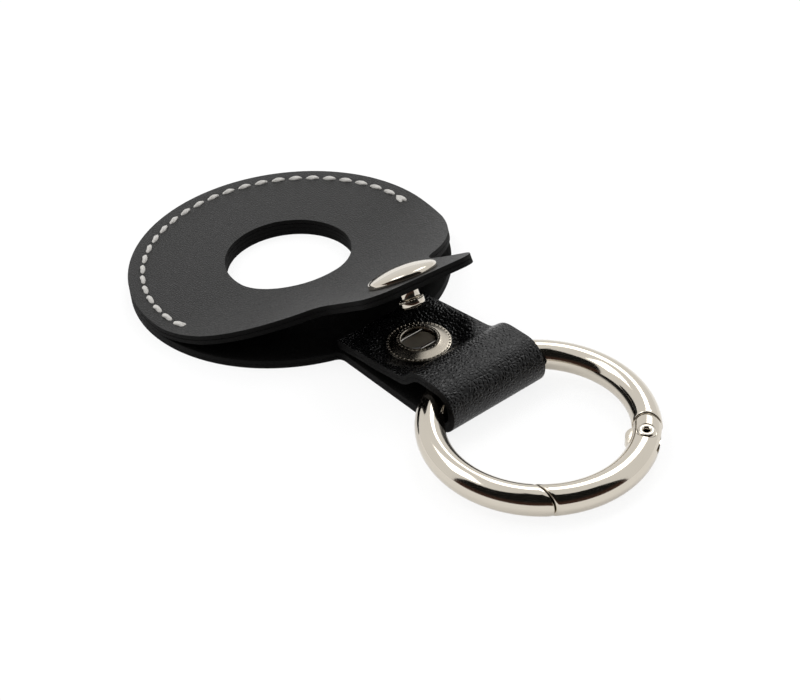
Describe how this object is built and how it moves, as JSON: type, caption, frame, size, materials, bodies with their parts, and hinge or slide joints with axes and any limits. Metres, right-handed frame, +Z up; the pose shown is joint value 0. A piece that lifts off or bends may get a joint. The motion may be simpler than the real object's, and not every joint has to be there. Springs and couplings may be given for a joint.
{
  "type": "tracker tag holder",
  "caption": "Round leather pocket for a coin-shaped tracker tag, with a window, a stitched rim, a snap-closed flap and a strap loop that carries a spring-gate ring.",
  "frame": {"origin": "centre of the disc, on the underside of the back panel", "axes": "+X along the strap from the disc towards the ring, +Z up through the window, +Y to the left when looking along +X"},
  "size_m": [0.0859, 0.044, 0.0143],
  "materials": {
    "leather": "black coated leather with a fine pebble grain",
    "lining": "black coated leather, lining side",
    "thread": "off-white waxed thread",
    "nickel": "warm polished nickel plate",
    "spring_steel": "drawn spring wire and strip"
  },
  "bodies": {
    "holder": {"back_outer": "leather", "back_lining": "lining", "tongue_outer": "leather", "tongue_lining": "lining", "front_outer": "leather", "front_lining": "lining", "top_thread": "thread", "bobbin_thread": "thread", "socket_post": "nickel", "socket_shell": "nickel", "socket_spring": "spring_steel"},
    "flap": {"flap_outer": "leather", "flap_lining": "lining"},
    "tab": {"tab_outer": "leather", "tab_lining": "lining", "snap_cap": "nickel", "cap_post": "nickel", "snap_stud": "nickel"},
    "loop": {"loop_outer": "leather", "loop_lining": "lining"},
    "ring": {"ring_body": "nickel", "gate_pin": "nickel"},
    "gate": {"ring_gate": "nickel", "gate_spring": "spring_steel"}
  },
  "joints": [
    {"name": "flap_bend", "type": "hinge", "parent": "holder", "child": "flap", "pos_m": [0.00485, 0.00004, 0.00195], "axis": [0.0087, -1, 0], "range_deg": [-3.52, 8.32]},
    {"name": "tab_bend", "type": "hinge", "parent": "flap", "child": "tab", "pos_m": [0.01406, -0.00207, 0.00359], "axis": [-0.142, -0.9895, -0.0268], "range_deg": [-22, 52], "stiffness_Nm_per_rad": 0.013, "deforming": ["socket_spring"]},
    {"name": "strap_flex", "type": "hinge", "parent": "holder", "child": "loop", "pos_m": [0.03328, 0, 0.0013], "axis": [0, 1, 0], "range_deg": [0, 80], "stiffness_Nm_per_rad": 0.05},
    {"name": "ring_turn", "type": "hinge", "parent": "loop", "child": "ring", "pos_m": [0.0495, 0, 0.0025], "axis": [0.0556, 0, 0.9985], "range_deg": [-70, 90]},
    {"name": "gate_swing", "type": "hinge", "parent": "ring", "child": "gate", "pos_m": [0.05984, 0.00717, 0.00192], "axis": [-0.0556, 0, -0.9985], "range_deg": [0, 50], "stiffness_Nm_per_rad": 0.01, "springref_deg": -20.05}
  ],
  "couplings": [
    {"joint": "flap_bend", "follows": "tab_bend", "ratio": 0.16}
  ]
}
